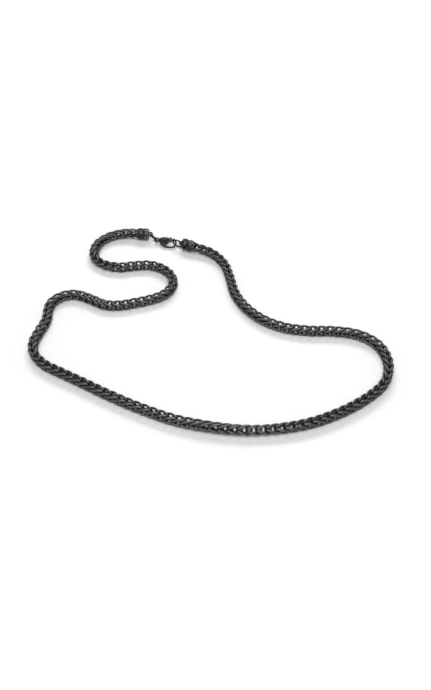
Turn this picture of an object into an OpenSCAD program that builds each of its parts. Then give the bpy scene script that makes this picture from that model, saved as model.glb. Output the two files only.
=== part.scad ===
// A franco chain necklace lying in its loops on a flat surface, all sizes in millimetres.
// Interlocked folded links run from one square end cap to the other, and a lobster
// clasp with two jump rings closes the loop. The floor is z = 0.

/* [Chain] */
// Distance from one link to the next along the chain
pitch = 4.35; // [4.3:0.01:4.4]
// Diameter of the link wire
wire_d = 0.9; // [0.7:0.05:0.95]
// Sides of the link wire
wire_sides = 5; // [5:1:6]
// Width of the chain across two opposite faces
chain_w = 4.6; // [4.5:0.05:4.8]
// Width of the chain across two opposite corners
chain_corner_w = 5.4; // [5.2:0.05:5.6]
// Play of a fold in the loops that it hangs in, along the chain
link_play = 0.39; // [0.3:0.01:0.45]
// Gap between the two wires that run side by side in a link
strand_gap = 0.04; // [0.03:0.01:0.1]

/* [End caps] */
// Clearance between the chain and the leaves of a cap
cap_play = 0.16; // [0.12:0.02:0.3]
// Thickness of a leaf where it is thinnest
leaf_t = 0.55; // [0.45:0.05:0.8]
// Width of a leaf
leaf_w = 3.8; // [3.2:0.1:4.0]
// Height of the two waves on the outside of a leaf
leaf_wave = 0.3; // [0.1:0.02:0.5]
// Depth of the cap from its floor to its mouth
cap_depth = 5.2; // [4.6:0.1:6]
// Thickness of the cap floor
cap_floor_t = 1.1; // [0.8:0.1:1.5]
// Diameter of the cross bar that holds the end link
bar_d = 0.8; // [0.6:0.05:0.9]
// Clearance between the end link and the cross bar, and between it and the cap floor
bar_play = 0.21; // [0.15:0.01:0.3]
// Wire diameter of the eye on a cap
eye_wire_d = 0.8; // [0.6:0.05:1]
// Clear width of the hole in the eye
eye_hole_d = 1.35; // [1.25:0.05:1.6]

/* [Jump rings] */
// Diameter of the small jump ring, measured at the middle of its wire
small_ring_d = 4.8; // [4.4:0.1:5.6]
// Wire diameter of the small jump ring
small_ring_wire_d = 0.7; // [0.5:0.05:0.8]
// Wire diameter of the large jump ring
large_ring_wire_d = 0.85; // [0.6:0.05:0.9]
// Clearance between a jump ring and what it hangs in
ring_play = 0.16; // [0.14:0.01:0.2]

/* [Clasp] */
// Length of the clasp from the centre of its eye to the centre of its hook
clasp_l = 8.8; // [8.4:0.1:9.6]
// Thickness of the clasp body at its middle
body_t = 2.8; // [2.6:0.1:3.2]
// Radius of the crown over the body, from side to side
crown_r = 9.5; // [8:0.5:14]
// Radius of the crown over the body, from end to end
long_crown_r = 12; // [10:0.5:20]
// Radius of the hook, measured at the middle of its wire
hook_r = 2.9; // [2.7:0.1:3.2]
// Wire diameter of the hook
hook_d = 1.0; // [0.8:0.05:1.1]
// Wire diameter of the clasp eye
clasp_eye_wire_d = 0.9; // [0.7:0.05:1]
// Clear width of the hole in the clasp eye
clasp_eye_hole_d = 1.4; // [1.3:0.05:1.8]
// Thickness of the lever
lever_t = 1.3; // [1:0.05:1.4]
// Clearance between the lever and the two cheeks of the body
lever_play = 0.1; // [0.08:0.01:0.15]
// Gap between the end of the lever and the hook when the clasp is shut
tip_gap = 0.08; // [0.05:0.01:0.15]
// Diameter of the pin that the lever turns on
pin_d = 0.8; // [0.6:0.05:0.9]
// Clearance round the pin in the cheeks
pin_fit = 0.02; // [0.01:0.01:0.04]
// Clearance round the pin in the lever
pin_play = 0.05; // [0.03:0.01:0.08]

/* [Hidden] */
$fn = 48;

// Centre line of the chain on the floor, seen from above, from the first link to the last
ROUTE = [[-39.9, 73.2], [-49, 74.4], [-57.5, 71.8], [-63.5, 65.5], [-65.5, 57.3], [-63.3, 49.8],
    [-57.2, 44.9], [-49.6, 43.2], [-41.3, 44.6], [-33.2, 45], [-25.5, 41.5], [-20.5, 35], [-20, 27],
    [-24, 20], [-31, 16], [-39, 13.4], [-47, 11.3], [-54.5, 11.7], [-61, 15], [-66.9, 18.3],
    [-71.7, 19.9], [-76.7, 19.2], [-80.9, 16.5], [-83.6, 12.3], [-84.3, 7.3], [-84.2, -1],
    [-86.5, -9.5], [-88.3, -18], [-86, -26], [-80, -33], [-72, -38], [-61, -44.5], [-46, -53.5],
    [-31, -61.5], [-15, -68.5], [1, -73], [17, -75], [33, -74], [48, -70], [63, -63], [76, -54],
    [85, -44], [88.5, -31], [85, -19], [76, -11.5], [64, -8.8], [51, -8.3], [39, -6], [28, 0],
    [19.5, 9.5], [14, 21], [11.5, 34], [8.5, 46], [1.5, 55.5], [-11, 61.6]];
// Turn of the links about the chain: share of the chain's length, then degrees
ROLL = [[0, 135], [0.04, 105], [0.09, 103], [0.13, 95], [0.17, 90], [0.52, 88], [0.55, 72], [0.60, 45],
    [0.665, 18], [0.75, 0], [0.93, 0], [0.965, -12], [1, -42]];
// Length over which the chain climbs from the floor to a cap
climb_l = 22;
// Steps in each stretch of the route, and in a drawn curve
route_steps = 12;
curve_steps = 8;
// Heading of the small ring's pull, seen from above
pull_heading = -37;
// Heading of the clasp, its lean, and the height at which the rings hold it off the floor
clasp_heading = -19;
clasp_lean = 20;
clasp_lift = 0.25;
// Lean of each jump ring about its line of pull, from upright
small_ring_lean = 30;
large_ring_lean = 17;
// Turn of the eye about each cap, from the cross bar's plane
left_eye_turn = 0;
right_eye_turn = -60;

function unit(v) = v / norm(v);
// Smooth curve through points a, b, c, d between b and c
function curve(a, b, c, d, t) =
    0.5 * (2 * b + (c - a) * t + (2 * a - 5 * b + 4 * c - d) * t * t + (3 * b - a - 3 * c + d) * t * t * t);
function smooth_line(p, steps) = let (n = len(p) - 1) [
    for (i = [0 : n - 1], k = [0 : steps - 1])
        curve(i > 0 ? p[i - 1] : 2 * p[0] - p[1], p[i], p[i + 1],
              i < n - 1 ? p[i + 2] : 2 * p[n] - p[n - 1], k / steps),
    p[n]];

// The route with the length run so far, so that a point is found by its distance
route = smooth_line(ROUTE, route_steps);
route_run = [for (i = 0, run = 0; i < len(route);
    run = run + (i + 1 < len(route) ? norm(route[i + 1] - route[i]) : 0), i = i + 1) run];
route_l = route_run[len(route_run) - 1];
x_by_run = [for (i = [0 : len(route) - 1]) [route_run[i], route[i].x]];
y_by_run = [for (i = [0 : len(route) - 1]) [route_run[i], route[i].y]];
links = round(route_l / pitch) + 1;
spacing = route_l / (links - 1);

// One link: a closed loop of wire folded twice, so that its fold passes through the
// two loops of the link before. Twelve corners, in order round the wire
link_x = (spacing + wire_d + link_play) / 2;
pair_y = (wire_d + strand_gap) / 2;
face_z = (chain_w - wire_d) / 2;
corner = (chain_corner_w - wire_d) / 2 / sqrt(2);
link_path = [
    [-link_x, pair_y, -face_z], [-link_x, pair_y, face_z], [0, corner, corner],
    [link_x, face_z, pair_y], [link_x, -face_z, pair_y], [0, -corner, corner],
    [-link_x, -pair_y, face_z], [-link_x, -pair_y, -face_z], [0, -corner, -corner],
    [link_x, -face_z, -pair_y], [link_x, face_z, -pair_y], [0, corner, -corner]];
corners = len(link_path);

// Ring of points round the wire at one corner of the link
function wire_ring(i) = let (
    p = link_path[i],
    before = unit(p - link_path[(i + corners - 1) % corners]),
    after = unit(link_path[(i + 1) % corners] - p),
    along = unit(before + after),
    bend = unit(after - before),
    stretch = 1 / (before * along),
    out = unit(p - along * (p * along)),
    side = cross(along, out))
    [for (k = [0 : wire_sides - 1]) let (
        a = 360 * k / wire_sides,
        v = wire_d / 2 * (out * cos(a) + side * sin(a)))
        p + v + bend * (bend * v) * (stretch - 1)];
link_points = [for (i = [0 : corners - 1]) each wire_ring(i)];

// Height of the axis above the floor for a link, or a cap, turned by an angle
function rest_height(points, roll) = max([for (p = points) -(p.y * sin(roll) + p.z * cos(roll))]);
leaf_in = chain_w / 2 + cap_play;
leaf_out = leaf_in + leaf_t + leaf_wave;
cap_points = [for (k = [0 : 3], s = [-1, 1]) let (a = 90 * k)
    [0, leaf_out * cos(a) - s * leaf_w / 2 * sin(a), leaf_out * sin(a) + s * leaf_w / 2 * cos(a)]];
function ease(t) = let (u = min(1, max(0, t))) u * u * (3 - 2 * u);
function roll_at(run) = lookup(run / route_l, ROLL);
function climb_at(run) = let (near = min(run, route_l - run), end = run < route_l / 2 ? 0 : route_l)
    (rest_height(cap_points, roll_at(end)) - rest_height(link_points, roll_at(end))) * ease(1 - near / climb_l);
function axis_point(run) = [lookup(run, x_by_run), lookup(run, y_by_run),
    rest_height(link_points, roll_at(run)) + climb_at(run)];

// Place of a link: its centre, then its three directions
function link_place(run) = let (
    along = unit(axis_point(run + spacing / 2) - axis_point(run - spacing / 2)),
    level = unit([-along.y, along.x, 0]),
    up = cross(along, level),
    roll = roll_at(run))
    [axis_point(run), along, level * cos(roll) + up * sin(roll), up * cos(roll) - level * sin(roll)];
function put(place, p) = place[0] + place[1] * p.x + place[2] * p.y + place[3] * p.z;
half_links = floor(links / 2);
// A link that dips below the floor where the chain climbs is raised onto it
function raised(place) = let (low = min([for (p = link_points) put(place, p).z]))
    [place[0] - [0, 0, min(low, 0)], place[1], place[2], place[3]];
places = [for (i = [0 : links - 1]) raised(link_place(i * spacing))];
link_meshes = [for (place = places) [for (p = link_points) put(place, p)]];

// Middle of the whole necklace seen from above, and its lowest point
all_x = [for (mesh = link_meshes) each [for (p = mesh) p.x]];
all_y = [for (mesh = link_meshes) each [for (p = mesh) p.y]];
all_z = [for (mesh = link_meshes) each [for (p = mesh) p.z]];
origin = [(min(all_x) + max(all_x)) / 2, (min(all_y) + max(all_y)) / 2, min(all_z)];

module centred() {
    translate(-origin) children();
}

module links_from(first, last) {
    n = wire_sides;
    size = corners * n;
    points = [for (i = [first : last]) each link_meshes[i]];
    faces = [for (i = [0 : last - first], c = [0 : corners - 1], k = [0 : n - 1]) let (
        a = i * size + c * n + k,
        b = i * size + c * n + (k + 1) % n,
        d = i * size + (c + 1) % corners * n + k,
        e = i * size + (c + 1) % corners * n + (k + 1) % n)
        each [[a, d, b], [b, d, e]]];
    polyhedron(points, faces);
}

// Turns the x, y and z directions of a piece into three given directions
module turned(x, y, z) {
    multmatrix([[x.x, y.x, z.x, 0], [x.y, y.y, z.y, 0], [x.z, y.z, z.z, 0]]) children();
}

module wire_torus(r, d) {
    rotate_extrude() translate([r, 0]) circle(d = d);
}

// End cap along +x, with the end link's centre at the origin and the bar along y
cap_floor_x = link_x + wire_d / 2 + bar_play;
cap_mouth_x = cap_floor_x - cap_depth;
cap_back_x = cap_floor_x + cap_floor_t;
bar_x = link_x - wire_d / 2 - bar_play - bar_d / 2;
eye_r = (eye_hole_d + eye_wire_d) / 2;
cap_eye_x = cap_back_x + eye_r;
corner_r = 0.8;

module leaf() {
    waves = 2;
    steps = 2 * waves * curve_steps;
    l = cap_back_x - cap_mouth_x;
    crest = leaf_in + leaf_t + leaf_wave / 2;
    intersection() {
        translate([0, leaf_w / 2, 0]) rotate([90, 0, 0]) linear_extrude(leaf_w) polygon([
            [cap_back_x, leaf_in], [cap_mouth_x, leaf_in],
            for (i = [0 : steps]) let (t = i / steps)
                [cap_mouth_x + l * t, crest - leaf_wave / 2 * cos(360 * waves * t)]]);
        linear_extrude(leaf_out + 1) {
            translate([cap_mouth_x + corner_r, -leaf_w / 2]) square([l - corner_r, leaf_w]);
            translate([cap_mouth_x, corner_r - leaf_w / 2]) square([l, leaf_w - 2 * corner_r]);
            for (s = [-1, 1])
                translate([cap_mouth_x + corner_r, s * (leaf_w / 2 - corner_r)]) circle(r = corner_r);
        }
    }
}

module cap_form(eye_turn) {
    for (k = [0 : 3]) rotate([90 * k, 0, 0]) leaf();
    translate([cap_floor_x, 0, 0]) rotate([0, 90, 0]) linear_extrude(cap_floor_t) intersection() {
        square(2 * (leaf_in + leaf_t), center = true);
        circle(r = leaf_out);
    }
    translate([bar_x, leaf_in + leaf_t / 2, 0]) rotate([90, 0, 0]) cylinder(h = 2 * leaf_in + leaf_t, d = bar_d);
    rotate([eye_turn, 0, 0]) translate([cap_eye_x, 0, 0]) wire_torus(eye_r, eye_wire_d);
}

// Directions of the two caps: outwards, along the bar, and across the eye
first = places[0];
last = places[links - 1];
left_cap = [first[0], -first[1], first[2], -first[3]];
right_cap = [last[0], last[1], last[3], -last[2]];
left_eye = put(left_cap, [cap_eye_x, 0, 0]);
right_eye = put(right_cap, [cap_eye_x, 0, 0]);
function eye_across(place, turn) = place[3] * cos(turn) - place[2] * sin(turn);

module cap(place, eye_turn) {
    translate(place[0]) turned(place[1], place[2], place[3]) cap_form(eye_turn);
}

// Clasp in its own plane: x from its eye to its hook, y towards the lever
clasp_eye_r = (clasp_eye_hole_d + clasp_eye_wire_d) / 2;
hook_c = [clasp_l, -0.2];
hook_in = hook_r - hook_d / 2;
hook_end = 80;
body_x0 = clasp_eye_r;
throat_w = 1.9;
body_x1 = hook_c.x - throat_w;
body_low = hook_r + hook_d / 2 - hook_c.y;
// Outline of the body: share of its length, then its upper and lower edge as shares of the
// distance from the middle line to the lowest point
BODY = [[0, 0.17, 0.17], [0.2, 0.4, 0.45], [0.5, 0.64, 0.78], [0.78, 0.74, 0.94], [1, 0.70, 1]];
body_upper = smooth_line([for (b = BODY) [body_x0 + (body_x1 - body_x0) * b[0], body_low * b[1]]], curve_steps);
body_lower = smooth_line([for (b = BODY) [body_x0 + (body_x1 - body_x0) * b[0], -body_low * b[2]]], curve_steps);
// Place of the crest of the crown from end to end
crest_x = (body_x0 + body_x1) / 2 + 0.8;
// Corners of the throat between the body and the hook
throat_deep = 3.1;
throat_top = 1.3;
throat = [[hook_c.x - throat_deep, hook_c.y - hook_in + 0.25], [body_x1 + 0.2, hook_c.y + throat_top],
    [hook_c.x, hook_c.y + throat_top], [hook_c.x, hook_c.y - hook_in], [body_x1, hook_c.y - hook_in]];
// Lever: its pivot, its rounded ends and thumb tab, and the corners between them
pivot = [4.1, 0.7];
root_r = 1.1;
tip_r = 0.42;
tip_angle = 70;
tip = hook_c + (hook_in - tip_gap - tip_r) * [cos(tip_angle), sin(tip_angle)];
tab = [7.5, 3.25];
tab_r = 0.45;
slot_x = pivot.x - root_r - 0.2;
slot_y = -2.2;
inset = 0.9;
lever_corners = [pivot + [0, root_r * inset], [6.9, 2.3], tab - [tab_r * inset, 0], tab + [tab_r * inset, 0],
    [8.3, 2.3], tip + [0, tip_r * inset], tip - [0, tip_r * inset], [8.3, 0.7], [6.9, -0.45],
    pivot - [0, root_r * inset]];

// Half thickness of the crowned body at a distance from its middle line
function crown(y) = body_t / 2 - crown_r + sqrt(crown_r * crown_r - y * y);
clasp_z = clasp_lift
    + max([for (k = [0 : 20]) let (y = body_low * k / 20) crown(y) * cos(clasp_lean) + y * sin(clasp_lean)]);
clasp_x = [cos(clasp_heading), sin(clasp_heading), 0];
clasp_out = [sin(clasp_heading) * sin(clasp_lean), -cos(clasp_heading) * sin(clasp_lean), cos(clasp_lean)];
clasp_y = cross(clasp_out, clasp_x);

// A jump ring spans from the wire of one eye to the wire of the other
function grip(centre, r, across, pull) = centre + r * unit(pull - across * (pull * across));
small_span = small_ring_d - small_ring_wire_d - 2 * ring_play - (eye_wire_d + clasp_eye_wire_d) / 2;
small_pull_l = small_span + eye_r + clasp_eye_r;
small_drop = left_eye.z - origin.z - clasp_z;
small_level = sqrt(small_pull_l * small_pull_l - small_drop * small_drop);
small_pull = [small_level * cos(pull_heading), small_level * sin(pull_heading), -small_drop];
clasp_eye = left_eye + small_pull;
hook_centre = clasp_eye + clasp_x * hook_c.x + clasp_y * hook_c.y;
large_pull = right_eye - hook_centre;
small_ends = [grip(left_eye, eye_r, eye_across(left_cap, left_eye_turn), small_pull),
    grip(clasp_eye, clasp_eye_r, clasp_out, -small_pull)];
large_ends = [grip(hook_centre, hook_r, clasp_out, large_pull),
    grip(right_eye, eye_r, eye_across(right_cap, right_eye_turn), -large_pull)];
large_ring_d = norm(large_ends[1] - large_ends[0]) + (hook_d + eye_wire_d) / 2 + 2 * ring_play
    + large_ring_wire_d;

module jump_ring(ends, lean, ring_d, ring_wire_d) {
    along = unit(ends[1] - ends[0]);
    up = unit([0, 0, 1] - along * along.z);
    across = up * cos(lean) + cross(along, up) * sin(lean);
    translate((ends[0] + ends[1]) / 2) turned(along, across, cross(along, across))
        wire_torus(ring_d / 2, ring_wire_d);
}

module at_clasp() {
    translate(clasp_eye) rotate([clasp_lean, 0, clasp_heading]) children();
}

module plate(t) {
    translate([0, 0, -t / 2]) linear_extrude(t) children();
}

module crowned() {
    l = 2 * (clasp_l + hook_r);
    intersection() {
        children();
        translate([-l / 2, 0, body_t / 2 - crown_r]) rotate([0, 90, 0]) cylinder(h = l, r = crown_r);
        translate([-l / 2, 0, crown_r - body_t / 2]) rotate([0, 90, 0]) cylinder(h = l, r = crown_r);
        translate([crest_x, l / 2, body_t / 2 - long_crown_r]) rotate([90, 0, 0])
            cylinder(h = l, r = long_crown_r);
        translate([crest_x, l / 2, long_crown_r - body_t / 2]) rotate([90, 0, 0])
            cylinder(h = l, r = long_crown_r);
    }
}

module hook() {
    translate(hook_c) {
        rotate([0, 0, -90]) rotate_extrude(angle = 90 + hook_end) translate([hook_r, 0]) circle(d = hook_d);
        translate(hook_r * [cos(hook_end), sin(hook_end)]) sphere(d = hook_d);
    }
    arm_x = throat[0].x;
    translate([arm_x, hook_c.y - hook_r, 0]) rotate([0, 90, 0]) cylinder(h = hook_c.x - arm_x, d = hook_d);
}

module chain_left() {
    color("dimgray") links_from(0, half_links - 1);
}

module chain_right() {
    color("dimgray") links_from(half_links, links - 1);
}

module end_cap_left() {
    color("gray") cap(left_cap, left_eye_turn);
}

module end_cap_right() {
    color("gray") cap(right_cap, right_eye_turn);
}

module jump_ring_small() {
    color("dimgray") jump_ring(small_ends, small_ring_lean, small_ring_d, small_ring_wire_d);
}

module jump_ring_large() {
    color("dimgray") jump_ring(large_ends, large_ring_lean, large_ring_d, large_ring_wire_d);
}

module clasp_body() {
    color("gray") at_clasp() {
        wire_torus(clasp_eye_r, clasp_eye_wire_d);
        hook();
        difference() {
            crowned() plate(body_t) difference() {
                polygon([each body_lower, for (i = [len(body_upper) - 1 : -1 : 0]) body_upper[i]]);
                polygon(throat);
                circle(d = clasp_eye_hole_d);
            }
            plate(lever_t + 2 * lever_play) translate([slot_x, slot_y]) square(clasp_l);
            translate([pivot.x, pivot.y, -body_t]) cylinder(h = 2 * body_t, d = pin_d + 2 * pin_fit);
        }
    }
}

module clasp_pin() {
    color("darkgray") at_clasp() translate([pivot.x, pivot.y, -body_t / 2]) cylinder(h = body_t, d = pin_d);
}

module clasp_lever() {
    color("gray") at_clasp() difference() {
        union() {
            plate(lever_t) polygon(lever_corners);
            translate(pivot) plate(lever_t) circle(r = root_r);
            translate(tip) plate(lever_t) circle(r = tip_r);
            translate(tab) plate(lever_t) circle(r = tab_r);
        }
        translate([pivot.x, pivot.y, -lever_t]) cylinder(h = 2 * lever_t, d = pin_d + 2 * pin_play);
    }
}

centred() chain_left();
centred() chain_right();
centred() end_cap_left();
centred() end_cap_right();
centred() jump_ring_small();
centred() jump_ring_large();
centred() clasp_body();
centred() clasp_pin();
centred() clasp_lever();
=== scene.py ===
import math

import bpy
import numpy as np
from mathutils import Matrix, Vector


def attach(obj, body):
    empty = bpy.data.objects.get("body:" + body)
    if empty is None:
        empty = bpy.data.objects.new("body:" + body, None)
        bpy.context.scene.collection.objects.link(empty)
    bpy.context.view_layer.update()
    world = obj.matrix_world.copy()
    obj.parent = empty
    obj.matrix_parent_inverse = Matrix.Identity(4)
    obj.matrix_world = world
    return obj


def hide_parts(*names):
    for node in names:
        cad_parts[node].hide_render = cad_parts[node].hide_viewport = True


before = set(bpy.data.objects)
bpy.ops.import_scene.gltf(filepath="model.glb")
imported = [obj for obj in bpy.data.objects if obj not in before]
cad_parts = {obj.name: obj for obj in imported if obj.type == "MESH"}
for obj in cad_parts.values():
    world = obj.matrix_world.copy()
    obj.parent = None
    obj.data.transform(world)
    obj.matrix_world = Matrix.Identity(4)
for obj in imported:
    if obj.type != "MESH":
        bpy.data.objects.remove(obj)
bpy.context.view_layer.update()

# The wire of the links
# Steel wire of 1.2 mm, drawn round, cut and bent into closed loops that are folded twice. Each fold hangs
# in the two narrow eyes of the link before it. The black plating is rubbed grey on the outer bends.
WIRE = 1.2
LINK_SIDES = 10
EIGHTH = ((-3.36, 0.6, 0), (-3.2, 0.6, 0.95), (-2.98, 0.6, 1.5), (-2.48, 0.66, 1.79), (-1.35, 1.12, 1.79),
          (0, 1.6, 1.6))
RUB_FROM, RUB_OVER = 1.7, 0.85
SMOOTH_BELOW = math.radians(50)


def clear_selection():
    if bpy.context.mode != "OBJECT":
        bpy.ops.object.mode_set(mode="OBJECT")
    bpy.ops.object.select_all(action="DESELECT")


def bent_wire(points, thickness, sides, closed=True):
    """A round wire bent through points, open wires with flat ends."""
    clear_selection()
    bpy.ops.mesh.primitive_circle_add(vertices=len(points))
    piece = bpy.context.object
    for vertex, point in zip(piece.data.vertices, points):
        vertex.co = point
    if not closed:
        # The edge that closes the circle is taken out.
        bpy.ops.object.mode_set(mode="EDIT")
        bpy.ops.mesh.select_mode(type="EDGE")
        bpy.ops.object.mode_set(mode="OBJECT")
        for edge in piece.data.edges:
            edge.select = abs(edge.vertices[0] - edge.vertices[1]) > 1
        bpy.ops.object.mode_set(mode="EDIT")
        bpy.ops.mesh.delete(type="EDGE")
        bpy.ops.object.mode_set(mode="OBJECT")
    bpy.ops.object.convert(target="CURVE")
    piece = bpy.context.object
    piece.data.bevel_depth = thickness / 2
    piece.data.bevel_resolution = sides // 2 - 2
    piece.data.use_fill_caps = not closed
    bpy.ops.object.convert(target="MESH")
    piece = bpy.context.object
    bpy.ops.object.shade_smooth_by_angle(angle=SMOOTH_BELOW)
    return piece


def whole_link(eighth):
    """The middle of a link's wire, mirrored from the eighth that runs from a fold to the corner."""
    quarter = [*eighth, *((-x, z, y) for x, y, z in eighth[-2::-1])]
    half = [*quarter, *((x, -y, z) for x, y, z in quarter[-2::-1])]
    return half + [(x, y, -z) for x, y, z in half[-2:0:-1]]


def smooth_line(points, steps):
    """A smooth line through points, in steps to each stretch."""
    p = [2 * points[0] - points[1], *points, 2 * points[-1] - points[-2]]
    line = []
    for a, b, c, d in zip(p, p[1:], p[2:], p[3:]):
        for t in (k / steps for k in range(steps)):
            line.append(0.5 * (2 * b + (c - a) * t + (2 * a - 5 * b + 4 * c - d) * t * t
                               + (3 * b - a - 3 * c + d) * t * t * t))
    return np.array([*line, points[-1]])


def rounded_loop(points):
    """A closed loop with one more point between each two, on a smooth line through them."""
    twice_round = smooth_line(np.array([*points, *points, points[0]]), 2)
    return twice_round[len(points):3 * len(points)]


link = bent_wire(rounded_loop(whole_link(EIGHTH)), WIRE, LINK_SIDES)
link_shape = np.array([vertex.co for vertex in link.data.vertices])


def mark_rub(mesh, amount):
    """Stores how far each point is rubbed, from 0 to 1, for the finish to read."""
    mark = mesh.attributes.get("rub") or mesh.attributes.new("rub", "FLOAT", "POINT")
    mark.data.foreach_set("value", np.clip(amount, 0, 1).astype(np.float32))


from_axis = np.hypot(link_shape[:, 1], link_shape[:, 2])
mark_rub(link.data, (from_axis - RUB_FROM) / RUB_OVER)


class Shade:
    """A value on its way through a finish's nodes. Operators add Math nodes, and node adds any other."""

    def __init__(self, tree, socket=None):
        self.tree, self.socket = tree, socket

    def node(self, kind, settings, inputs, output=0):
        made = self.tree.nodes.new("ShaderNode" + kind)
        for name, value in settings.items():
            setattr(made, name, value)
        for name, value in inputs.items():
            if isinstance(value, Shade):
                self.tree.links.new(value.socket, made.inputs[name])
            else:
                made.inputs[name].default_value = value
        return Shade(self.tree, made.outputs[output])

    def math(self, operation, first, second):
        return self.node("Math", {"operation": operation}, {0: first, 1: second})

    def __add__(self, other):
        return self.math("ADD", self, other)

    def __sub__(self, other):
        return self.math("SUBTRACT", self, other)

    def __rsub__(self, other):
        return self.math("SUBTRACT", other, self)

    def __mul__(self, other):
        return self.math("MULTIPLY", self, other)

    __radd__, __rmul__ = __add__, __mul__

    def between(self, low, high):
        """0 below low, 1 above high, and smooth between them."""
        return self.node("MapRange", {"interpolation_type": "SMOOTHSTEP"}, {0: self, 1: low, 2: high})

    def blend(self, low, high):
        """The colour low where this is 0, and high where it is 1. Sockets 6, 7 and 2 are the colours'."""
        return self.node("Mix", {"data_type": "RGBA"}, {0: self, 6: low, 7: high}, 2)


CLOUD_SCALE, GRAIN_SCALE, SCUFF_SCALE = 260.0, 2600.0, 900.0
GRAIN_DEPTH = 0.00003


def black_plate(name, plate, bared, polish, grain):
    """Black plating over steel: clouded a little, rubbed to a greyer metal where it wears, finely grained."""
    finish = bpy.data.materials.new(name)
    finish.use_nodes = True
    steel = finish.node_tree.nodes["Principled BSDF"]
    steel.inputs["Metallic"].default_value = 1.0
    start = Shade(finish.node_tree)
    place = start.node("TexCoord", {}, {}, "Object")
    rub = start.node("Attribute", {"attribute_name": "rub"}, {}, "Fac")
    cloud = start.node("TexNoise", {}, {"Vector": place, "Scale": CLOUD_SCALE, "Detail": 3.0}, "Fac")
    fine = start.node("TexNoise", {}, {"Vector": place, "Scale": GRAIN_SCALE, "Detail": 4.0}, "Fac")
    scuffs = start.node("TexNoise", {}, {"Vector": place, "Scale": SCUFF_SCALE, "Detail": 2.0,
                                         "Distortion": 1.5}, "Fac")
    worn = rub.between(0.25, 1.0) * (0.35 + 0.9 * scuffs.between(0.35, 0.7)) * (0.55 + 0.9 * cloud)
    colour = worn.blend(plate, bared)
    toned = start.node("HueSaturation", {}, {"Value": 0.72 + 0.56 * cloud, "Color": colour})
    finish.node_tree.links.new(toned.socket, steel.inputs["Base Color"])
    rough = polish + 0.16 * (fine - 0.5) + 0.14 * (cloud - 0.5) + 0.10 * scuffs.between(0.5, 0.8)
    finish.node_tree.links.new(rough.socket, steel.inputs["Roughness"])
    bump = start.node("Bump", {}, {"Height": fine, "Strength": grain, "Distance": GRAIN_DEPTH})
    finish.node_tree.links.new(bump.socket, steel.inputs["Normal"])
    return finish


link_black = black_plate("black_plated_links", (0.09, 0.087, 0.086, 1), (0.155, 0.149, 0.145, 1), 0.46, 0.25)
link.data.materials.clear()
link.data.materials.append(link_black)

# The lie of the chain
# 133 links lie on the table in the loops that they fell into, seen from above in millimetres. The chain
# twists along its way, here by share and degrees, and its ends climb into the caps.
ROUTE = [(-39.9, 73.2), (-49, 74.1), (-57.5, 71.8), (-63.5, 65.5), (-65.5, 57.3), (-63.3, 49.8),
         (-57.2, 44.9), (-49.6, 43.2), (-41.3, 44.6), (-33.2, 45), (-25.5, 41.5), (-20.5, 35), (-20, 27),
         (-24, 20), (-31, 16), (-39, 13.4), (-47, 11.3), (-54.5, 11.7), (-61, 15), (-66.9, 18.3),
         (-71.7, 19.9), (-76.7, 19.2), (-80.9, 16.5), (-83.6, 12.3), (-84.3, 7.3), (-84.2, -1),
         (-86.5, -9.5), (-88.1, -18), (-86, -26), (-80, -33), (-72, -38), (-61, -44.5), (-46, -53.5),
         (-31, -61.5), (-15, -68.5), (1, -72.7), (17, -74.7), (33, -73.7), (48, -70), (63, -63), (76, -54),
         (85, -44), (88.3, -31), (85, -19), (76, -11.5), (64, -8.8), (51, -8.3), (39, -6), (28, 0),
         (19.5, 9.5), (14, 21), (11.5, 34), (8.5, 46), (1.5, 55.5), (-11, 61.6)]
TWIST = [(0, 103), (0.03, 103), (0.06, 122), (0.095, 116), (0.11, 100), (0.13, 98), (0.15, 104), (0.19, 102),
         (0.21, 90), (0.24, 88), (0.26, 100), (0.31, 100), (0.36, 102), (0.42, 100), (0.47, 93), (0.52, 84),
         (0.542, 66), (0.583, 43), (0.61, 22), (0.64, 8), (0.74, 4), (0.785, 12), (0.81, 2), (0.845, 2),
         (0.87, 14), (0.92, 10), (0.965, -12), (1, -42)]
MIDDLE = (0.0103, -0.3161)
PITCH = 4.35
CLIMB = 22
CAP_HALF = (3.31, 1.9)
CAP_TWIST = (math.radians(135), math.radians(-42))
END_LINK_CLOSED = 0.865

route = smooth_line(np.array(ROUTE) - MIDDLE, 12)
runs = np.concatenate([[0], np.cumsum(np.linalg.norm(np.diff(route, axis=0), axis=1))])
chain_length = runs[-1]
link_count = round(chain_length / PITCH) + 1
spacing = chain_length / (link_count - 1)
cap_corners = np.array([(0, CAP_HALF[0] * math.cos(a) - s * CAP_HALF[1] * math.sin(a),
                         CAP_HALF[0] * math.sin(a) + s * CAP_HALF[1] * math.cos(a))
                        for a in (0, math.pi / 2, math.pi, math.pi * 1.5) for s in (-1, 1)])


def resting_height(shape, twist):
    """How high the middle of a shape lies when it rests on the table, twisted about the chain's way."""
    return -(shape[:, 1] * math.sin(twist) + shape[:, 2] * math.cos(twist)).min()


def twist_at(run):
    return math.radians(np.interp(run / chain_length, *zip(*TWIST)))


def axis_point(run):
    """The middle of the chain above the table, after a length of it has run from the left cap."""
    end, cap_twist = (0, CAP_TWIST[0]) if run < chain_length / 2 else (chain_length, CAP_TWIST[1])
    near = min(1, max(0, 1 - min(run, chain_length - run) / CLIMB))
    climb = resting_height(cap_corners, cap_twist) - resting_height(link_shape, twist_at(end))
    return Vector((np.interp(run, runs, route[:, 0]), np.interp(run, runs, route[:, 1]),
                   resting_height(link_shape, twist_at(run)) + climb * near * near * (3 - 2 * near)))


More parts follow.
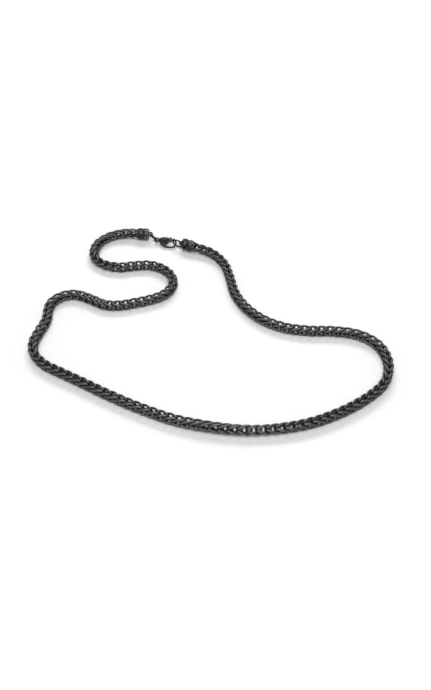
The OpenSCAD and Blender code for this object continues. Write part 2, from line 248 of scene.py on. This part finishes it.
def link_place(run, twist):
    """Where a link or a cap lies: its three directions as a matrix, and its middle, in millimetres."""
    along = (axis_point(run + spacing / 2) - axis_point(run - spacing / 2)).normalized()
    level = Vector((-along.y, along.x, 0)).normalized()
    up = along.cross(level)
    across = level * math.cos(twist) + up * math.sin(twist)
    out = up * math.cos(twist) - level * math.sin(twist)
    middle = axis_point(run)
    dip = (link_shape @ np.array([along.z, across.z, out.z])).min() + middle.z
    middle.z -= min(dip, 0)
    return Matrix((along, across, out)).transposed().to_4x4(), middle


def set_down(piece, turn, middle):
    """Turns a piece modelled in millimetres, moves it to its place and scales it to metres, in its mesh."""
    piece.data.transform(Matrix.Scale(0.001, 4) @ Matrix.Translation(middle) @ turn)
    piece.matrix_world = Matrix.Identity(4)


places = [link_place(i * spacing, twist_at(i * spacing)) for i in range(link_count)]


def lay_links(name, first, last):
    """Copies the link to each place from first to last, and joins the copies into one piece."""
    clear_selection()
    for i in range(first, last + 1):
        copy = link.copy()
        copy.data = link.data.copy()
        bpy.context.collection.objects.link(copy)
        if i in (0, link_count - 1):
            # The end links are closed up over the cross bars in the caps.
            side = -1 if i == 0 else 1
            for vertex in copy.data.vertices:
                if vertex.co.x * side > 0:
                    vertex.co.x *= END_LINK_CLOSED
        set_down(copy, *places[i])
        copy.select_set(True)
        bpy.context.view_layer.objects.active = copy
    bpy.ops.object.join()
    chain = bpy.context.object
    chain.name = chain.data.name = name
    return chain


half = link_count // 2
for name, first, last in (("chain_left_links", 0, half - 1), ("chain_right_links", half, link_count - 1)):
    chain = lay_links(name, first, last)
    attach(chain, "necklace")
    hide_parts(name.removesuffix("_links"))
bpy.data.objects.remove(link)

# The end caps
# Square caps cast in steel, each with four waved leaves round the end link, a floor, a cross bar through
# the link and an eye for a jump ring, then plated black. The plating is rubbed greyer on the proud edges.
LEAF_IN, LEAF_T, LEAF_W, LEAF_WAVE, LEAF_CROWN, LEAF_CORNER = 2.46, 0.55, 3.5, 0.3, 0.5, 0.8
CAP_FLOOR, CAP_BACK, CAP_MOUTH = 3.479, 4.579, -1.721
BAR_AT, BAR = 1.759, 0.8
EYE_RADIUS, EYE_WIRE = 1.075, 0.95
CAP_EYE_TURN = (0, -60)


def cast(parts, name, cell, share):
    """Fuses parts into one casting with softened edges: remeshed in cells, smoothed, thinned to a share."""
    clear_selection()
    for part in parts:
        part.select_set(True)
    bpy.context.view_layer.objects.active = parts[0]
    bpy.ops.object.join()
    casting = bpy.context.object
    bpy.ops.object.transform_apply(location=True, rotation=True, scale=True)
    casting.name = casting.data.name = name
    for kind, settings in (("REMESH", {"mode": "VOXEL", "voxel_size": cell}),
                           ("SMOOTH", {"factor": 0.5, "iterations": 3}),
                           ("DECIMATE", {"ratio": share})):
        modifier = casting.modifiers.new(kind, kind)
        for setting, value in settings.items():
            setattr(modifier, setting, value)
        bpy.ops.object.modifier_apply(modifier=kind)
    bpy.ops.object.shade_smooth()
    return casting


def mark_edges(mesh, full):
    """Marks proud edges as rubbed, up to 1 where the surface bends by full, in 1/mm, and hollows as clean."""
    points, normals = (np.empty(len(mesh.vertices) * 3) for _ in range(2))
    ends = np.empty(len(mesh.edges) * 2, int)
    mesh.vertices.foreach_get("co", points)
    mesh.vertices.foreach_get("normal", normals)
    mesh.edges.foreach_get("vertices", ends)
    points, normals, ends = points.reshape(-1, 3), normals.reshape(-1, 3), ends.reshape(-1, 2)
    step = points[ends[:, 1]] - points[ends[:, 0]]
    bend = ((normals[ends[:, 1]] - normals[ends[:, 0]]) * step).sum(1) / np.maximum((step ** 2).sum(1), 1e-9)
    total, count = np.zeros(len(points)), np.zeros(len(points))
    for side in (0, 1):
        np.add.at(total, ends[:, side], bend)
        np.add.at(count, ends[:, side], 1)
    mark_rub(mesh, total / np.maximum(count, 1) / full)


def leaf(turn):
    """One leaf: a plate along x with two waves on its outside and round corners at the mouth."""
    clear_selection()
    bpy.ops.mesh.primitive_grid_add(x_subdivisions=33, y_subdivisions=9, size=1)
    plate = bpy.context.object
    for vertex in plate.data.vertices:
        share = vertex.co.x + 0.5
        x, y = CAP_MOUTH + (CAP_BACK - CAP_MOUTH) * share, LEAF_W * vertex.co.y
        corner = LEAF_CORNER - (x - CAP_MOUTH)
        if corner > 0:
            half_width = LEAF_W / 2 - LEAF_CORNER + math.sqrt(max(0, LEAF_CORNER ** 2 - corner * corner))
            y = math.copysign(min(abs(y), half_width), y)
        wave = LEAF_WAVE / 2 * (1 - math.cos(4 * math.pi * share))
        aside = 2 * y / LEAF_W
        vertex.co = x, y, LEAF_IN + LEAF_T + wave * (1 - aside ** 6) - LEAF_CROWN * aside ** 2
    bpy.ops.object.mode_set(mode="EDIT")
    bpy.ops.mesh.select_all(action="SELECT")
    bpy.ops.mesh.extrude_region_move()
    bpy.ops.object.mode_set(mode="OBJECT")
    for vertex in plate.data.vertices:
        if vertex.select:
            vertex.co.z = LEAF_IN
    bpy.ops.object.mode_set(mode="EDIT")
    bpy.ops.mesh.select_all(action="SELECT")
    bpy.ops.mesh.normals_make_consistent(inside=False)
    bpy.ops.object.mode_set(mode="OBJECT")
    plate.data.transform(Matrix.Rotation(turn, 4, "X"))
    return plate


cap_black = black_plate("black_plated_caps", (0.06, 0.058, 0.057, 1), (0.21, 0.2, 0.192, 1), 0.36, 0.18)
for name, run, twist, eye_turn in (("end_cap_left", 0, CAP_TWIST[0], CAP_EYE_TURN[0]),
                                   ("end_cap_right", chain_length, CAP_TWIST[1], CAP_EYE_TURN[1])):
    parts = [leaf(math.radians(90 * k)) for k in range(4)]
    bpy.ops.mesh.primitive_cylinder_add(vertices=64, radius=LEAF_IN + LEAF_T + LEAF_WAVE,
                                        depth=CAP_BACK - CAP_FLOOR, rotation=(0, math.pi / 2, 0),
                                        location=((CAP_FLOOR + CAP_BACK) / 2, 0, 0))
    floor_plate = bpy.context.object
    reach = LEAF_IN + LEAF_T
    for vertex in floor_plate.data.vertices:
        vertex.co.x, vertex.co.y = (max(-reach, min(reach, v)) for v in vertex.co[:2])
    parts.append(floor_plate)
    bpy.ops.mesh.primitive_cylinder_add(vertices=24, radius=BAR / 2, depth=2 * LEAF_IN + LEAF_T,
                                        location=(BAR_AT, 0, 0), rotation=(math.pi / 2, 0, 0))
    parts.append(bpy.context.object)
    bpy.ops.mesh.primitive_torus_add(major_radius=EYE_RADIUS, minor_radius=EYE_WIRE / 2, major_segments=48,
                                     minor_segments=16, location=(CAP_BACK + EYE_RADIUS, 0, 0),
                                     rotation=(math.radians(eye_turn), 0, 0))
    parts.append(bpy.context.object)
    cap = cast(parts, name + "_casting", 0.09, 0.3)
    mark_edges(cap.data, 2.2)
    cap.data.materials.clear()
    cap.data.materials.append(cap_black)
    turn, middle = link_place(run, twist)
    along, across, out = turn.to_3x3().transposed()
    sides = (along, out, -across) if run else (-along, across, -out)
    set_down(cap, Matrix(sides).transposed().to_4x4(), middle)
    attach(cap, "necklace")
    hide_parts(name)

# The jump rings
# Rings of round steel wire, wound, sawn off and closed with pliers, so that each shows a hairline where
# its ends meet. They join the caps to the clasp, and are plated like the links.
ring_black = black_plate("black_plated_rings", (0.05, 0.048, 0.047, 1), (0.13, 0.125, 0.12, 1), 0.34, 0.15)
RINGS = (("jump_ring_small", (-32.3992, 71.1971, 2.8275), (0.66113, 0.5879, 0.46613), 2.4, 0.85, 200),
         ("jump_ring_large", (-18.2778, 65.1951, 2.9789), (0.31475, 0.9178, 0.24202), 2.5513, 0.92, 100))
SEAM_WIDTH = 1.2
for name, middle, axis, radius, thickness, seam in RINGS:
    turns = [math.radians(seam + SEAM_WIDTH / 2 + (360 - SEAM_WIDTH) * i / 63) for i in range(64)]
    ring_line = [(radius * math.cos(a), radius * math.sin(a), 0) for a in turns]
    ring = bent_wire(ring_line, thickness, 16, closed=False)
    ring.name = ring.data.name = name + "_wire"
    mark_edges(ring.data, 2.8)
    ring.data.materials.clear()
    ring.data.materials.append(ring_black)
    set_down(ring, Vector(axis).to_track_quat("Z", "Y").to_matrix().to_4x4(), Vector(middle))
    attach(ring, "necklace")
    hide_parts(name)

# The clasp's body
# A lobster clasp cast in steel: two cheeks with a slot for the lever, a round arm that runs on into the
# hook, and an eye at the narrow end. It is tumbled smooth and plated black.
CLASP_EYE = Vector((-30.4279, 69.6315, 2.1385))
CLASP_TURN = Matrix.Rotation(math.radians(-19), 4, "Z") @ Matrix.Rotation(math.radians(20), 4, "X")
HOOK_C, HOOK_R, HOOK_D, HOOK_END = Vector((8.8, -0.2, 0)), 2.9, 1.0, 80
BODY_X0, BODY_X1, BODY_LOW, BODY_T = 1.15, 6.9, 3.6, 2.8
ROUNDINGS = ((9.5, (4, 0), (0, math.pi / 2, 0)), (12, (4.825, 0), (math.pi / 2, 0, 0)))
NOTCH = ((5.7, -2.35), (7.1, 1.1), (8.8, 1.1), (8.8, -2.6), (6.9, -2.6))
SLOT, SLOT_T = ((2.8, -2.2), (11.6, -2.2), (11.6, 6.6), (2.8, 6.6)), 1.5
CLASP_EYE_RADIUS, CLASP_EYE_WIRE = 1.15, 1.0
# Along the body: share of its length, and its upper and lower edge as shares of its depth.
BODY = ((0, 0.17, 0.17), (0.2, 0.4, 0.45), (0.5, 0.64, 0.78), (0.78, 0.74, 0.94), (1, 0.70, 1))
PIVOT = Vector((4.1, 0.7, 0))
PIN, PIN_ROOM = 0.8, 0.02


def plate_of(points, thickness):
    """A flat plate with this outline, centred on its own plane."""
    clear_selection()
    bpy.ops.mesh.primitive_circle_add(vertices=len(points), fill_type="NGON")
    plate = bpy.context.object
    for vertex, point in zip(plate.data.vertices, points):
        vertex.co = point[0], point[1], -thickness / 2
    bpy.ops.object.mode_set(mode="EDIT")
    bpy.ops.mesh.select_all(action="SELECT")
    bpy.ops.mesh.extrude_region_move(TRANSFORM_OT_translate={"value": (0, 0, thickness)})
    bpy.ops.mesh.select_all(action="SELECT")
    bpy.ops.mesh.normals_make_consistent(inside=False)
    bpy.ops.object.mode_set(mode="OBJECT")
    return plate


def trim(piece, cutter, operation):
    """Cuts one piece with another, which is used up."""
    clear_selection()
    piece.select_set(True)
    bpy.context.view_layer.objects.active = piece
    cut = piece.modifiers.new("trim", "BOOLEAN")
    cut.object, cut.operation, cut.solver = cutter, operation, "EXACT"
    bpy.ops.object.modifier_apply(modifier="trim")
    bpy.data.objects.remove(cutter)


body_line = np.array([(BODY_X0 + (BODY_X1 - BODY_X0) * b[0], BODY_LOW * b[1], -BODY_LOW * b[2]) for b in BODY])
upper, lower = smooth_line(body_line[:, (0, 1)], 8), smooth_line(body_line[:, (0, 2)], 8)
cheeks = plate_of([*lower, *upper[::-1]], BODY_T)
for radius, middle, turn in ROUNDINGS:
    for side in (-1, 1):
        bpy.ops.mesh.primitive_cylinder_add(vertices=192, radius=radius, depth=30, rotation=turn,
                                            location=(*middle, side * (BODY_T / 2 - radius)))
        trim(cheeks, bpy.context.object, "INTERSECT")
trim(cheeks, plate_of(NOTCH, 4), "DIFFERENCE")
trim(cheeks, plate_of(SLOT, SLOT_T), "DIFFERENCE")
bpy.ops.mesh.primitive_cylinder_add(vertices=32, radius=PIN / 2 + PIN_ROOM, depth=6, location=PIVOT)
trim(cheeks, bpy.context.object, "DIFFERENCE")
arc = [math.radians(-90 + (90 + HOOK_END) * i / 30) for i in range(31)]
arm = [HOOK_C + Vector((x, -HOOK_R, 0)) for x in (-3.1, -2.1, -1.1)]
bow = [HOOK_C + HOOK_R * Vector((math.cos(a), math.sin(a), 0)) for a in arc]
hook = bent_wire([*arm, *bow], HOOK_D, 16, closed=False)
bpy.ops.mesh.primitive_uv_sphere_add(segments=24, ring_count=12, radius=HOOK_D / 2, location=bow[-1])
hook_end = bpy.context.object
bpy.ops.mesh.primitive_torus_add(major_radius=CLASP_EYE_RADIUS, minor_radius=CLASP_EYE_WIRE / 2,
                                 major_segments=48, minor_segments=16)
clasp_body = cast([cheeks, hook, hook_end, bpy.context.object], "clasp_body_casting", 0.07, 0.35)
clasp_black = black_plate("black_plated_clasp", (0.05, 0.048, 0.047, 1), (0.15, 0.143, 0.138, 1), 0.34, 0.12)
mark_edges(clasp_body.data, 2.4)
clasp_body.data.materials.clear()
clasp_body.data.materials.append(clasp_black)
set_down(clasp_body, CLASP_TURN, CLASP_EYE)
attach(clasp_body, "necklace")
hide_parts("clasp_body")

# The clasp's pin
# A short steel pin through both cheeks and the lever. Its ends are peened to low domes, flush with the
# cheeks, which leaves them brighter than the body.
DOME = 0.16
bpy.ops.mesh.primitive_cylinder_add(vertices=32, radius=PIN / 2, depth=BODY_T, location=PIVOT)
pin = bpy.context.object
pin.name = pin.data.name = "clasp_pin_peened"
bpy.ops.object.transform_apply(location=True)
dome = pin.modifiers.new("dome", "BEVEL")
dome.width, dome.segments, dome.limit_method = DOME, 4, "ANGLE"
bpy.ops.object.modifier_apply(modifier="dome")
bpy.ops.object.shade_smooth_by_angle(angle=SMOOTH_BELOW)
mark_edges(pin.data, 3.0)
pin.data.materials.clear()
pin.data.materials.append(black_plate("black_plated_pin", (0.06, 0.058, 0.057, 1), (0.17, 0.163, 0.158, 1),
                                      0.32, 0.1))
set_down(pin, CLASP_TURN, CLASP_EYE)
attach(pin, "necklace")
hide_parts("clasp_pin")

# The clasp's lever
# A lever stamped from thick steel, which a hidden spring holds against the hook. It turns on the pin, and
# its rounded tab stands out of the body for the thumb, where its plating wears first.
LEVER_T, ROOT_R, TAB_R, TIP_R, LEVER_ROOM, LEVER_EDGE = 1.3, 1.1, 0.6, 0.42, 0.05, 0.12
TIP = HOOK_C + 1.9 * Vector((math.cos(math.radians(70)), math.sin(math.radians(70)), 0))
TAB = Vector((7.7, 2.75, 0))


def rounded(middle, radius, start, end, steps):
    """The points of an arc about middle, from one angle in degrees to another."""
    return [(middle.x + radius * math.cos(a), middle.y + radius * math.sin(a))
            for a in (math.radians(start + (end - start) * i / steps) for i in range(steps + 1))]


lever = plate_of([*rounded(PIVOT, ROOT_R, 100, 250, 16), (6.9, -0.45), (8.3, 0.7),
                  *rounded(TIP, TIP_R, -70, 90, 10), (8.62, 2.42), *rounded(TAB, TAB_R, 0, 180, 10),
                  (6.9, 2.3)], LEVER_T)
bpy.ops.mesh.primitive_cylinder_add(vertices=32, radius=PIN / 2 + LEVER_ROOM, depth=4, location=PIVOT)
trim(lever, bpy.context.object, "DIFFERENCE")
lever.name = lever.data.name = "clasp_lever_stamping"
soft = lever.modifiers.new("soft", "BEVEL")
soft.width, soft.segments, soft.limit_method, soft.angle_limit = LEVER_EDGE, 3, "ANGLE", math.radians(40)
bpy.ops.object.modifier_apply(modifier="soft")
bpy.ops.object.shade_smooth_by_angle(angle=math.radians(35))
mark_edges(lever.data, 3.0)
lever.data.materials.clear()
lever.data.materials.append(black_plate("black_plated_lever", (0.055, 0.053, 0.052, 1), (0.16, 0.153, 0.148, 1),
                                        0.34, 0.12))
set_down(lever, CLASP_TURN, CLASP_EYE)
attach(lever, "lever")
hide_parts("clasp_lever")

# The table, the light and the camera
# A plain white table under an even white room, with a low wide lamp behind the necklace, whose shadow falls
# to the front, and a soft fill above the front. The camera looks down at 44 degrees, as in the photograph.
TABLE_WHITE, ROOM_LIGHT = 0.93, 0.32
LAMPS = (((0, 0.95, 0.87), 0.9, 0.35, 8.3), ((0, -0.55, 1.0), 0.8, 0.8, 7.7))
CAMERA_AT, CAMERA_TILT, CAMERA_LENS = (0.00349, -0.31668, 0.28952), math.radians(46.089), 43.03

clear_selection()
bpy.ops.mesh.primitive_plane_add(size=8)
table = bpy.context.object
table.name = "table_top"
white = bpy.data.materials.new("white_table")
white.use_nodes = True
paint = white.node_tree.nodes["Principled BSDF"].inputs
paint["Base Color"].default_value = (TABLE_WHITE, TABLE_WHITE, TABLE_WHITE, 1)
paint["Roughness"].default_value = 0.6
paint["Specular IOR Level"].default_value = 0.2
table.data.materials.append(white)

room = bpy.data.worlds.new("room")
room.use_nodes = True
room.node_tree.nodes["Background"].inputs["Color"].default_value = (1, 1, 1, 1)
room.node_tree.nodes["Background"].inputs["Strength"].default_value = ROOM_LIGHT
bpy.context.scene.world = room

for place, width, depth, power in LAMPS:
    bpy.ops.object.light_add(type="AREA", location=place)
    lamp = bpy.context.object
    lamp.data.shape, lamp.data.size, lamp.data.size_y, lamp.data.energy = "RECTANGLE", width, depth, power
    lamp.rotation_mode = "QUATERNION"
    lamp.rotation_quaternion = (-lamp.location).to_track_quat("-Z", "Y")

bpy.ops.object.camera_add(location=CAMERA_AT, rotation=(CAMERA_TILT, 0, 0))
camera = bpy.context.object
camera.data.lens, camera.data.sensor_width, camera.data.clip_start = CAMERA_LENS, 36, 0.01
bpy.context.scene.camera = camera
bpy.context.scene.view_settings.view_transform = "Standard"
